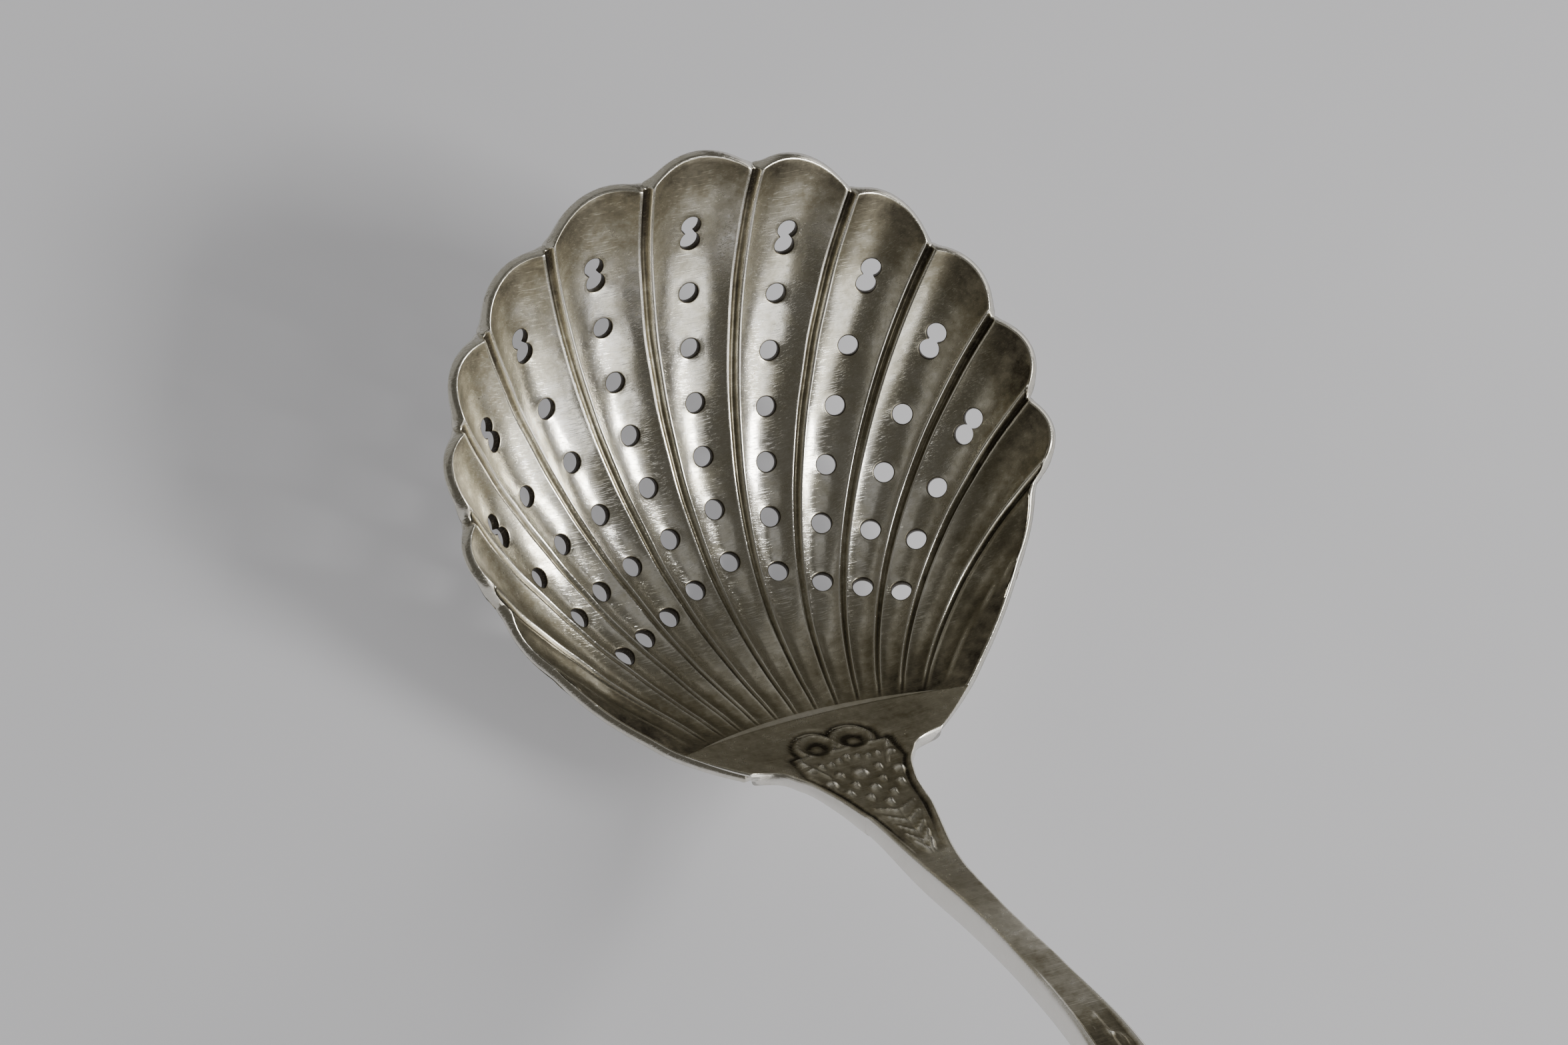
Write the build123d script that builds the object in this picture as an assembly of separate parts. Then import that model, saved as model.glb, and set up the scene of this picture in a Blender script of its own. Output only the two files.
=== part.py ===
from build123d import *
import math
import os

# Pierced shell sifter spoon, in millimetres.
#
# Row frame: +Z up from the table, +Y from the handle's end towards the bowl's tip, X across, YZ the
# plane of symmetry. The origin is on the table, under the middle of the spoon's length.
#
# Bowl frame: x across, y towards the tip, z along the normal of the rim plane, origin at the inside of
# the bowl. The bowl is drawn there, then tipped back by BOWL_TILT and set down on the table.

# ---- driving dimensions: where the bowl sits ----
BOWL_TILT = 24.0          # degrees the rim plane leans back towards the handle at rest
BOWL_Y = 77.08            # the bowl frame's origin in the row frame
BOWL_Z = 5.40             # lifts the underside of the bowl to the table

# ---- driving dimensions: the bowl's sheet ----
SHEET = 1.0               # thickness of the pressed sheet
BED_Y = -5.0              # where the inside of the bowl is deepest
BED_2, BED_3, BED_4 = 0.0165, -0.00018, 5.3e-6        # lengthwise curve: powers of (y - BED_Y)
SIDE_2, SIDE_2Y, SIDE_2YY = 0.0052, -1.6e-4, 5.9e-6   # crosswise curve: x squared, and how y changes it
SIDE_4 = 1.1e-5                                       # crosswise curve: x to the fourth
EDGE_X = 31.0             # the sheet runs on straight past here, outside the rim
EDGE_SLOPE = 1.6

# ---- driving dimensions: flutes ----
LOBES_EACH_SIDE = 6       # lobes either side of the middle one, so 13 in all
FLUTE_APEX_Y = -39.9      # all flutes point at this spot behind the heel
FLUTE_SPREAD = 0.178      # sideways step from lobe to lobe, for each mm in front of the apex
FLUTE_DEPTH = 0.10        # depth of a lobe as a share of its width
FLUTE_START_Y = -28.5     # no flutes behind here
FLUTE_FADE = 12.0         # length over which they reach full depth

# ---- driving dimensions: rim ----
RIM_HALF_WIDTH = 29.3     # ellipse through the notches between lobes
RIM_HALF_LENGTH = 27.5
RIM_CENTRE_Y = -3.0
SCALLOP = 1.4             # how far each lobe bulges past the line between its notches
FLANK_MID = (23.2, -20.5)     # the plain side of the bowl, halfway to the heel
HEEL_END = (10.0, -31.5)      # where the sheet ends, under the shoulder plate

# ---- driving dimensions: piercings ----
HOLE_R = 0.98
HOLE_DEPTH = 6.0          # length of the cutter through the sheet
PAIR_STEP = 1.35          # between the two circles of a double hole, in y
# For each lobe out from the middle: double hole y, first and last single hole y, count of single holes.
PIERCED_LOBES = [
    (19.4, 13.3, -13.0, 6),
    (17.3, 11.6, -14.9, 6),
    (12.1, 5.2, -16.8, 5),
    (4.6, -2.5, -18.1, 4),
    (-4.3, -10.2, -19.2, 3),
]

# ---- driving dimensions: lap joint and shoulder plate ----
SOLDER = 0.10             # height of the solder film, along the bowl frame's z
PLATE = 0.80              # height of the shoulder plate on top of it
SHOULDER_DROP = 2.5       # how far the shoulder reaches below the heel's surface
LAP_FRONT = (13.4, -28.7)     # end of the plate's front edge, at the rim
LAP_FRONT_MID_Y = -27.9       # the same edge on the middle line
NOTCH = (7.7, -32.0)          # corner between the rim and the shoulder
SHOULDER_WAIST = (4.9, -34.4)
SHOULDER_END = (3.7, -36.6)

# ---- driving dimensions: stem, in the row frame ----
# y from the bowl frame's origin, height of the top face, thickness, width
STEM = [
    (-37.6, 10.2, 2.0, 10.0),
    (-42.8, 14.3, 2.6, 6.8),
    (-51.6, 20.6, 3.0, 4.3),
    (-58.7, 26.5, 3.2, 3.1),
    (-67.8, 34.0, 3.1, 3.5),
    (-76.9, 40.2, 3.0, 4.8),
    (-92.0, 44.4, 2.8, 7.0),
    (-110.0, 39.0, 2.6, 9.6),
    (-129.0, 23.8, 2.5, 12.6),
    (-141.0, 13.6, 2.4, 14.8),
    (-150.0, 7.4, 2.3, 16.4),
    (-157.0, 4.0, 2.2, 17.3),
]
PAD_FRONT_Y = -162.0      # the flat that rests on the table starts here
PAD_THICKNESS = 2.2
PAD_WIDTH = 17.6
STEM_END_Y = -172.0
END_ROUND_Y = -164.5      # the rounded end starts here

# ---- working sizes that only have to be big enough ----
TALL = 80.0
BELOW = -20.0
FLANK_MARGIN = 1.1        # lobes drawn past the outermost one, outside the rim
GRID_PER_LOBE = 7
GRID_ROWS = 16
GRID_Y = (-37.5, 29.0)
FIT_TOLERANCE = 0.05
HEEL_PATCH = (17.0, -26.5, -39.0)     # half width, front and back of the heel's own surface
HEEL_GRID = 12
HEEL_TOLERANCE = 0.005


def bed(x, y):
    """Height of the plain bowl, without flutes, in the bowl frame."""
    across = max(-EDGE_X, min(EDGE_X, x))
    along = y - BED_Y
    height = BED_2 * along**2 + BED_3 * along**3 + BED_4 * along**4
    height += across**2 * (SIDE_2 + SIDE_2Y * y + SIDE_2YY * y**2) + SIDE_4 * across**4
    return height + EDGE_SLOPE * abs(x - across)


def bed_normal(x, y):
    """Unit normal of the plain bowl, pointing to the inside."""
    step = 1e-3
    slope_x = (bed(x + step, y) - bed(x - step, y)) / (2 * step)
    slope_y = (bed(x, y + step) - bed(x, y - step)) / (2 * step)
    return Vector(-slope_x, -slope_y, 1).normalized()


def flute_x(lobe, y):
    """Sideways place of a lobe's middle line; half values are the notches between lobes."""
    return FLUTE_SPREAD * lobe * (y - FLUTE_APEX_Y)


def flute_height(lobe, y):
    """How far the sheet stands above the plain bowl: 0 in a lobe's middle, highest between lobes."""
    rise = min(1.0, max(0.0, (y - FLUTE_START_Y) / FLUTE_FADE))
    fade = rise * rise * (3 - 2 * rise)
    width = flute_x(1, y)
    if abs(lobe) > LOBES_EACH_SIDE + 0.5:
        return FLUTE_DEPTH * width * fade
    return FLUTE_DEPTH * width * fade * math.sin(math.pi * (lobe - round(lobe))) ** 2


def sheet_point(lobe, y, drop):
    """Point of the sheet's surface, dropped along the bowl's normal towards the outside."""
    x = flute_x(lobe, y)
    return Vector(x, y, bed(x, y)) + bed_normal(x, y) * (flute_height(lobe, y) - drop)


def sheet_face(drop):
    """One fluted surface through a fan-shaped grid of points."""
    reach = LOBES_EACH_SIDE + 0.5 + FLANK_MARGIN
    columns = round(2 * reach * GRID_PER_LOBE)
    lobes = [-reach + 2 * reach * i / columns for i in range(columns + 1)]
    rows = [GRID_Y[0] + (GRID_Y[1] - GRID_Y[0]) * j / (GRID_ROWS - 1) for j in range(GRID_ROWS)]
    grid = [[sheet_point(lobe, y, drop) for lobe in lobes] for y in rows]
    return Face.make_surface_from_array_of_points(grid, tol=FIT_TOLERANCE)


def space_above(face):
    """Everything above a surface, up to a height well over the rim."""
    return extrude(face, amount=TALL, dir=(0, 0, 1))


def notch_point(lobe):
    """Where the line between two lobes crosses the rim ellipse."""
    spread = FLUTE_SPREAD * lobe
    a = (spread / RIM_HALF_WIDTH) ** 2 + 1 / RIM_HALF_LENGTH**2
    b = -2 * FLUTE_APEX_Y * (spread / RIM_HALF_WIDTH) ** 2 - 2 * RIM_CENTRE_Y / RIM_HALF_LENGTH**2
    c = (spread * FLUTE_APEX_Y / RIM_HALF_WIDTH) ** 2 + (RIM_CENTRE_Y / RIM_HALF_LENGTH) ** 2 - 1
    y = (-b + math.sqrt(b * b - 4 * a * c)) / (2 * a)
    return Vector(flute_x(lobe, y), y)


def scallop_arc(start, end):
    """One lobe's edge, bulging away from the bowl's middle."""
    middle = (start + end) / 2
    outward = (end - start).rotate(Axis.Z, 90).normalized()
    if outward.dot(middle - Vector(0, RIM_CENTRE_Y)) < 0:
        outward = -outward
    return ThreePointArc(start, middle + outward * SCALLOP, end)


def upright(edges):
    """Solid standing over a closed outline in the bowl frame."""
    outline = make_face(Wire.combine(edges)[0])
    return extrude(Pos(0, 0, BELOW) * outline, amount=TALL, dir=(0, 0, 1))


def mirrored(point):
    return (-point[0], point[1])


def rim_prism():
    """Solid over the bowl's outline: eleven scallops, two plain flanks and the heel."""
    outer = LOBES_EACH_SIDE - 0.5
    notches = [notch_point(-outer + i) for i in range(2 * LOBES_EACH_SIDE)]
    edges = [scallop_arc(a, b) for a, b in zip(notches, notches[1:])]
    edges.append(ThreePointArc(notches[-1], FLANK_MID, HEEL_END))
    edges.append(ThreePointArc(notches[0], mirrored(FLANK_MID), mirrored(HEEL_END)))
    edges.append(Line(HEEL_END, mirrored(HEEL_END)))
    return upright(edges)


def piercing(lobe, y):
    """Round cutter square to the sheet."""
    x = flute_x(lobe, y)
    place = Plane(origin=(x, y, bed(x, y)), z_dir=bed_normal(x, y))
    return place * Cylinder(HOLE_R, HOLE_DEPTH)


def piercings():
    cutters = []
    outermost = len(PIERCED_LOBES) - 1
    for lobe in range(-outermost, outermost + 1):
        pair_y, first_y, last_y, count = PIERCED_LOBES[abs(lobe)]
        singles = [first_y + (last_y - first_y) * i / (count - 1) for i in range(count)]
        for y in [pair_y, pair_y - PAIR_STEP] + singles:
            cutters.append(piercing(lobe, y))
    return cutters


def make_bowl(inside, outside):
    """Fluted sheet between two surfaces, cut to the rim and pierced."""
    sheet = outside - inside
    return (sheet & rim_prism()).cut(*piercings())


def heel_face(lift):
    """The plain, unfluted surface of the heel, raised towards the inside."""
    reach_x, front_y, back_y = HEEL_PATCH
    grid = []
    for j in range(HEEL_GRID):
        y = back_y + (front_y - back_y) * j / (HEEL_GRID - 1)
        across = [reach_x * (2 * i / (HEEL_GRID - 1) - 1) for i in range(HEEL_GRID)]
        grid.append([Vector(x, y, bed(x, y) + lift) for x in across])
    return Face.make_surface_from_array_of_points(grid, tol=HEEL_TOLERANCE)


def heel_layer(low, high):
    """Everything between two heights above the heel's surface."""
    return extrude(heel_face(low), amount=high - low, dir=(0, 0, 1))


def lap_prism():
    """Solid over the part of the heel that the shoulder plate covers."""
    front = ThreePointArc(LAP_FRONT, (0, LAP_FRONT_MID_Y), mirrored(LAP_FRONT))
    sides = [Line(LAP_FRONT, HEEL_END), Line(mirrored(LAP_FRONT), mirrored(HEEL_END))]
    return upright([front, Line(HEEL_END, mirrored(HEEL_END))] + sides)


def make_solder():
    """Film between the bowl's heel and the shoulder plate."""
    return heel_layer(0, SOLDER) & lap_prism()


def make_plate():
    """Shoulder plate that lies on the solder, as far back as the end of the bowl's sheet."""
    return heel_layer(SOLDER, SOLDER + PLATE) & lap_prism()


def make_shoulder():
    """Thick block behind the sheet, where the plate narrows into the stem."""
    side = [HEEL_END, NOTCH, SHOULDER_WAIST, SHOULDER_END]
    edges = [Line(HEEL_END, mirrored(HEEL_END)), Line(SHOULDER_END, mirrored(SHOULDER_END))]
    for a, b in zip(side, side[1:]):
        edges.append(Line(a, b))
        edges.append(Line(mirrored(a), mirrored(b)))
    return heel_layer(-SHOULDER_DROP, SOLDER + PLATE) & upright(edges)


def stem_profile():
    """Side view of the stem: top spline, rounded end, flat underside and bottom spline."""
    top = [Vector(0, y, z) for y, z, _, _ in STEM]
    bottom = []
    for i, (y, z, thickness, _) in enumerate(STEM):
        ahead = top[min(i + 1, len(top) - 1)]
        behind = top[max(i - 1, 0)]
        along = (ahead - behind).normalized()
        down = Vector(0, along.Z, -along.Y) * (1 if along.Y > 0 else -1)
        bottom.append(top[i] + down * thickness)
    pad_top = Vector(0, PAD_FRONT_Y, PAD_THICKNESS)
    end_top = Vector(0, STEM_END_Y, PAD_THICKNESS)
    end_low = Vector(0, STEM_END_Y, 0)
    pad_low = Vector(0, PAD_FRONT_Y, 0)
    level = (0, -1, 0)
    start = (top[1] - top[0]).normalized()
    upper = Spline(top + [pad_top], tangents=[start, level])
    lower = Spline(bottom + [pad_low], tangents=[start, level])
    edges = [upper, Line(pad_top, end_top), Line(end_top, end_low), Line(end_low, pad_low), lower]
    edges.append(Line(bottom[0], top[0]))
    return make_face(Wire.combine(edges)[0])


def stem_outline():
    """Top view of the stem: it swells from the neck to a broad rounded end."""
    right = [Vector(width / 2, y) for y, _, _, width in STEM]
    right.append(Vector(PAD_WIDTH / 2, END_ROUND_Y))
    left = [Vector(-p.X, p.Y) for p in right]
    edges = [Spline(right), Spline(left), Line(right[0], left[0])]
    edges.append(ThreePointArc(right[-1], (0, STEM_END_Y), left[-1]))
    return make_face(Wire.combine(edges)[0])


def make_stem():
    """Stem as the side view swept across, trimmed to the top view, in the row frame."""
    across = extrude(stem_profile(), amount=PAD_WIDTH, dir=(1, 0, 0), both=True)
    above = extrude(Pos(0, 0, BELOW) * stem_outline(), amount=TALL, dir=(0, 0, 1))
    return Pos(0, BOWL_Y, 0) * (across & above)


def seated(shape):
    """Moves a shape from the bowl frame to the row frame."""
    return Pos(0, BOWL_Y, BOWL_Z) * Rot(BOWL_TILT, 0, 0) * shape


inside = space_above(sheet_face(0))
outside = space_above(sheet_face(SHEET))

bowl = seated(make_bowl(inside, outside))
solder_seam = seated(make_solder())
handle = seated(make_plate() + make_shoulder()) + make_stem()

os.makedirs("parts", exist_ok=True)
for node, shape in [("bowl", bowl), ("solder_seam", solder_seam), ("handle", handle)]:
    export_step(shape, f"parts/{node}.step")
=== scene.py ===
import math

import bpy
import numpy as np
from mathutils import Matrix, Vector


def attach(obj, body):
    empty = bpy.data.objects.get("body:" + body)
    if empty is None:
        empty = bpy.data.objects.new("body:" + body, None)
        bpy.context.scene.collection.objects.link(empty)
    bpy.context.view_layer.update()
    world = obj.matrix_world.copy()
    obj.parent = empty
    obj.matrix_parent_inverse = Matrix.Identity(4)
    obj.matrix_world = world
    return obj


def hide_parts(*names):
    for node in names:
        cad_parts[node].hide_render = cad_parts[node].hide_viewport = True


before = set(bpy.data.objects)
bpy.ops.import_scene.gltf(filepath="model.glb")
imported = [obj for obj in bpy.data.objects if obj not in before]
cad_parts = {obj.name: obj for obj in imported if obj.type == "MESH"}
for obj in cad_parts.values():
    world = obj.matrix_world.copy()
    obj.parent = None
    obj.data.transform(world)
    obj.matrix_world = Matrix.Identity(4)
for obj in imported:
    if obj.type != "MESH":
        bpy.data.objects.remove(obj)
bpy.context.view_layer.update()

# Pierced shell sifter spoon. Sizes are in millimetres until a mesh is made.
# Row frame: +Z up from the table, +Y from the handle's end to the bowl's tip, X across.
# Bowl frame: z along the normal of the rim plane, leaning back by BOWL_TILT on the table.

MM = 0.001
SEED = 7

# ---- shape shared with the CAD model ----
BOWL_TILT = math.radians(24.0)
BOWL_Y, BOWL_Z = 77.08, 5.40  # the bowl frame's origin in the row frame
SHEET = 1.0             # thickness
BED_Y = -5.0            # where the inside of the bowl is deepest
BED_2, BED_3, BED_4 = 0.0165, -0.00018, 5.3e-6  # lengthwise curve: powers of (y - BED_Y)
SIDE_2, SIDE_2Y, SIDE_2YY = 0.0052, -1.6e-4, 5.9e-6  # crosswise curve: x squared, and how y changes it
SIDE_4 = 1.1e-5         # crosswise curve: x to the fourth
LOBES_EACH_SIDE = 6
FLUTE_APEX_Y = -39.9    # all flutes point at this spot behind the heel
FLUTE_SPREAD = 0.178    # sideways step from lobe to lobe, for each mm in front of the apex
FLUTE_START_Y = -28.5
RIM_HALF_WIDTH, RIM_HALF_LENGTH, RIM_CENTRE_Y = 29.3, 27.5, -3.0  # ellipse through the notches
SCALLOP = 1.4           # how far each lobe bulges past the line between its notches
FLANK_MID = (23.2, -20.5)  # the plain side of the bowl, halfway to the heel
HEEL_END = (10.0, -31.5)  # where the sheet ends
HOLE_R = 0.98
PAIR_STEP = 1.35        # between the two circles of a double hole, in y
# for each lobe out from the middle: double hole y, first and last single hole y, count of single holes
PIERCED_LOBES = [
    (19.4, 13.3, -13.0, 6),
    (17.3, 11.6, -14.9, 6),
    (12.1, 5.2, -16.8, 5),
    (4.6, -2.5, -18.1, 4),
    (-4.3, -10.2, -19.2, 3),
]
SOLDER = 0.10           # height of the solder film
PLATE = 0.80            # height of the shoulder plate on top of it
LAP_FRONT = (13.4, -28.7)  # end of the plate's front edge, at the rim

# ---- finer shape of the bowl ----
FLUTE_DEPTH = 0.113     # depth of a lobe as a share of its width
FLUTE_FADE = 2.2        # length over which the flutes rise out of the heel
GROOVE_HALF = 0.62      # half width of the groove between lobes, where lobes are wide
GROOVE_EASE = 6.0       # lobe width over which the groove narrows
GROOVE_DEPTH = 1.0      # depth of the groove as a share of its half width
BEAD_HEIGHT = 0.8       # the same for the bead on the outside
BEAD_REACH = 1.2        # how wide the bead is, in half widths of the groove
TROUGH_STEPS = (0.0, 0.16, 0.32, 0.48, 0.62, 0.75, 0.85, 0.93, 1.0)  # lobe middle to crest
GROOVE_STEPS = (0.20, 0.44, 0.72, 1.0)  # crest to groove middle
SIDE_CELLS = 12         # columns of the outermost lobes, past their groove
SIDE_GROOVE_MOST = 0.6  # most of an outermost lobe's width that its groove takes
SIDE_BEND = 4           # how late its columns bend from the straight line between their ends
ROWS = 104              # heel to rim
RIM_TRIES = 40          # steps towards where a column meets the rim
HOLE_TRIES = 3          # the same from a flat hole down to the curved sheet
BLOCK_START = (2, 1)    # least columns and rows each side of a hole that its rings replace
FLANK_SHARE = 0.36      # share of the flank's arc, from the last notch, where columns end
EDGE_ROUND = 0.14       # rounding of the rim and the holes
EDGE_ROOM = 0.4         # least distance from a hole's edge to the grid around its rings
RING_STEPS = (0.35, 0.65, 0.88, 1.0)
RING_SPLIT = 2          # ring points for each grid point around them
DISH = 0.035            # how far the inside is pressed down at a hole's edge
BACK_DISH = 0.22        # how far the outside is pressed in there, which leaves the sheet thinner
DISH_WIDTH = 0.2
RIPPLE = 0.022          # height of each wave of the hand-worked inside
RIPPLE_WAVES, RIPPLE_LENGTHS = 7, (5.0, 13.0)
RIPPLE_START_Y, RIPPLE_FADE = -27.0, 6.0  # none behind here, where the plate is soldered on

# ---- where the bowl is tarnished (0 clean to 1 dark) and where rubbing keeps it bright ----
HOLE_FILM = 0.95        # inside the holes
RIM_FILM = 0.15         # on the rim's edge
GROOVE_FILM, GROOVE_HEEL_FILM = 0.45, 0.35  # in the grooves, and added to that at the heel
GROOVE_FILM_RISE = 1.6  # how fast a groove darkens towards its middle
BEAD_FILM = 0.8         # on the outside, beside the beads
BEAD_FILM_AT = 2.2      # distance from the bead's middle, in half widths of the groove
BAND_FILM, BAND_WIDTH = 0.6, 5.0  # in a band inside the rim
HEEL_FILM = 0.12
HEEL_FILM_Y, HEEL_FILM_FADE = -17.0, 10.0
CREST_HALF = 0.16       # half width of the bright line on each crest
RIM_WEAR = 0.6

# ---- handle ----
# y from the bowl frame's origin, height of the top face, thickness, half width: as in the CAD model
STEM = [
    (-51.6, 20.6, 3.0, 2.15),
    (-58.7, 26.5, 3.2, 1.55),
    (-67.8, 34.0, 3.1, 1.75),
    (-76.9, 40.2, 3.0, 2.4),
    (-92.0, 44.4, 2.8, 3.5),
    (-110.0, 39.0, 2.6, 4.8),
    (-129.0, 23.8, 2.5, 6.3),
    (-141.0, 13.6, 2.4, 7.4),
    (-150.0, 7.4, 2.3, 8.2),
    (-157.0, 4.0, 2.2, 8.65),
    (-162.0, 2.2, 2.2, 8.8),
    (-164.5, 2.2, 2.2, 8.8),
]
STEM_END_Y = -172.0
# shoulder behind the bowl's sheet, in the bowl frame: half width, y, thickness square to the surface
SHOULDER = [(8.4, -31.8, 1.5), (6.1, -32.9, 1.6), (4.5, -34.6, 1.9), (3.5, -36.8, 2.3)]
PLATE_FRONT_Y = -28.3   # front edge of the plate in the middle
PLATE_FEATHER = 0.22    # plate height at its front edge, as a share of its full height
FRONT_SHARE = 0.03      # rounded front of the plate, as a share of its length
FRONT_STEPS = (0.0, 0.12, 0.35, 0.65)
FRONT_LEAST = 0.02      # keeps the front edge from closing to nothing
SHEET_GAP = 0.02        # between the end of the sheet and the shoulder
PLATE_ROWS, SHOULDER_ROWS, END_ROWS = 26, 34, 40
STEM_STEP = 0.4         # length of a row along the stem
END_TURN = 0.02         # angle at which the rounded end stops, so that it has a last row
TOP_CELLS = 72          # across the top face, and across the underside
CORNER_CELLS = 4
TOP_ROUND, LOW_ROUND = 0.35, 0.9  # rounding of the upper and lower edges
TOP_ROUND_MOST, LOW_ROUND_MOST = 0.45, 0.5  # at most these shares of the thickness
SIDE_ROUND_MOST = 0.6   # and of the half width
STEM_DISH, STEM_DISH_LENGTH = 0.2, 10.0  # the shoulder's hollow runs out along the stem
CROWN = 0.05            # rise of the stem's top face in the middle, as a share of its half width
CROWN_START, CROWN_FADE = 24.0, 10.0  # distance from the plate's front edge, length it rises over
TOP_SKIN = 0.12         # how far below the top face the ornament and its tarnish reach
EDGE_FADE = 0.5         # the ornament fades out over this distance from the edge
TOP_FILM, SIDE_FILM = 0.26, 0.02  # tarnish of the top face, and of the rest
GROUND_MORE, HOLLOW_MORE = 0.30, 0.45  # added to that in sunk ground and in cut lines
WEAR_HEIGHT, WEAR_EDGE = 0.12, 0.25  # relief that is rubbed bright, and width of the bright edge


# ---------------- the bowl's surfaces

def smooth_step(t):
    t = np.clip(t, 0.0, 1.0)
    return t * t * (3 - 2 * t)


def bed(x, y):
    """Height of the plain bowl in the bowl frame."""
    along = y - BED_Y
    height = BED_2 * along**2 + BED_3 * along**3 + BED_4 * along**4
    return height + x**2 * (SIDE_2 + SIDE_2Y * y + SIDE_2YY * y**2) + SIDE_4 * x**4


def on_bed(plan):
    """Points of the plain bowl over plan points."""
    x, y = plan[..., 0], plan[..., 1]
    return np.stack([x, y, bed(x, y)], -1)


def bed_normal(x, y):
    """Unit normals of the plain bowl, towards the inside."""
    step = 1e-3
    slope_x = (bed(x + step, y) - bed(x - step, y)) / (2 * step)
    slope_y = (bed(x, y + step) - bed(x, y - step)) / (2 * step)
    normal = np.stack([-slope_x, -slope_y, np.ones_like(slope_x)], -1)
    return normal / np.linalg.norm(normal, axis=-1, keepdims=True)


def lobe_width(y):
    return FLUTE_SPREAD * (y - FLUTE_APEX_Y)


def groove_half(width):
    return GROOVE_HALF * np.tanh(width / GROOVE_EASE)


def across_lobe(x, y):
    """Distance from the middle of the nearest lobe, the lobe's width and its groove's half width."""
    width = lobe_width(y)
    lobe = np.clip(np.round(x / width), -LOBES_EACH_SIDE, LOBES_EACH_SIDE)
    return np.abs(x - lobe * width), width, groove_half(width)


def groove_share(x, y):
    """0 outside the grooves, 1 in a groove's middle."""
    distance, width, half = across_lobe(x, y)
    share = np.clip((distance - width / 2 + half) / half, 0, 1)
    return np.where(np.abs(x) > LOBES_EACH_SIDE * width, 0, share)


def flute_fade(y):
    return smooth_step((y - FLUTE_START_Y) / FLUTE_FADE)


def inner_relief(x, y):
    """Lobes hollow between two sharp crests, with a narrow groove from crest to crest."""
    distance, width, half = across_lobe(x, y)
    trough = FLUTE_DEPTH * width * np.clip(distance / (width / 2 - half), 0, 1) ** 2
    groove = GROOVE_DEPTH * half * np.sin(groove_share(x, y) * math.pi / 2)
    return (trough - groove) * flute_fade(y)


def outer_relief(x, y):
    """The same flutes seen from behind: rounded lobes, and a bead where each groove was pressed."""
    distance, width, half = across_lobe(x, y)
    valley = FLUTE_DEPTH * width * np.clip(2 * distance / width, 0, 1) ** 2
    bead = BEAD_HEIGHT * half * np.exp(-(((width / 2 - distance) / (BEAD_REACH * half)) ** 2))
    bead = np.where(np.abs(x) > LOBES_EACH_SIDE * width, 0, bead)
    return (valley - bead) * flute_fade(y)


def ripple(x, y):
    """Slight waviness of hand-worked sheet."""
    chance = np.random.default_rng(SEED)
    total = np.zeros_like(x)
    for _ in range(RIPPLE_WAVES):
        length = chance.uniform(*RIPPLE_LENGTHS)
        heading = chance.uniform(0, math.pi)
        phase = chance.uniform(0, 2 * math.pi)
        total += np.sin(2 * math.pi * (x * math.cos(heading) + y * math.sin(heading)) / length + phase)
    return RIPPLE * total * smooth_step((y - RIPPLE_START_Y) / RIPPLE_FADE)


def bowl_points(x, y, drop, depth):
    """Points of the sheet: depth 0 is the inside, 1 the outside. drop lowers the inside at a hole."""
    inner = inner_relief(x, y) + ripple(x, y) - drop
    outer = outer_relief(x, y) - SHEET + BACK_DISH * drop / DISH
    lift = inner * (1 - depth) + outer * depth
    return on_bed(np.stack([x, y], -1)) + bed_normal(x, y) * lift[..., None]


def seated(points):
    """Bowl frame to row frame."""
    x, y, z = points[..., 0], points[..., 1], points[..., 2]
    cos, sin = math.cos(BOWL_TILT), math.sin(BOWL_TILT)
    return np.stack([x, cos * y - sin * z + BOWL_Y, sin * y + cos * z + BOWL_Z], -1)


# ---------------- the bowl's outline

def circle_through(a, b, c):
    """Centre and radius of the circle through three plan points."""
    a, b, c = (np.array(p, float) for p in (a, b, c))
    rows = 2 * np.array([b - a, c - a])
    centre = np.linalg.solve(rows, [b @ b - a @ a, c @ c - a @ a])
    return centre, np.linalg.norm(a - centre)


def notch_point(lobe):
    """Where the line between two lobes crosses the rim ellipse."""
    spread = FLUTE_SPREAD * lobe
    a = (spread / RIM_HALF_WIDTH) ** 2 + 1 / RIM_HALF_LENGTH**2
    b = -2 * FLUTE_APEX_Y * (spread / RIM_HALF_WIDTH) ** 2 - 2 * RIM_CENTRE_Y / RIM_HALF_LENGTH**2
    c = (spread * FLUTE_APEX_Y / RIM_HALF_WIDTH) ** 2 + (RIM_CENTRE_Y / RIM_HALF_LENGTH) ** 2 - 1
    y = (-b + math.sqrt(b * b - 4 * a * c)) / (2 * a)
    return np.array([spread * (y - FLUTE_APEX_Y), y])


def scallop_circle(lobe):
    start, end = notch_point(lobe - 0.5), notch_point(lobe + 0.5)
    middle = (start + end) / 2
    outward = middle - np.array([0, RIM_CENTRE_Y])
    chord = (end - start) / np.linalg.norm(end - start)
    outward -= chord * (outward @ chord)
    outward /= np.linalg.norm(outward)
    return circle_through(start, middle + outward * SCALLOP, end)


def rim_y(slant, circle):
    """y at which lines from the flutes' apex, with x growing by slant per mm, meet a scallop."""
    centre, radius = circle
    to_x, to_y = -centre[0], FLUTE_APEX_Y - centre[1]
    a = slant**2 + 1
    b = 2 * (slant * to_x + to_y)
    c = to_x**2 + to_y**2 - radius**2
    return FLUTE_APEX_Y + (-b + np.sqrt(b * b - 4 * a * c)) / (2 * a)


def column_offset(side, step, width):
    """Distance of a column from its lobe's middle: the first steps reach the crest, the last the groove."""
    half = groove_half(width)
    crest = width / 2 - half
    if step < len(TROUGH_STEPS):
        return side * TROUGH_STEPS[step] * crest
    return side * (crest + GROOVE_STEPS[step - len(TROUGH_STEPS)] * half)


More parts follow.
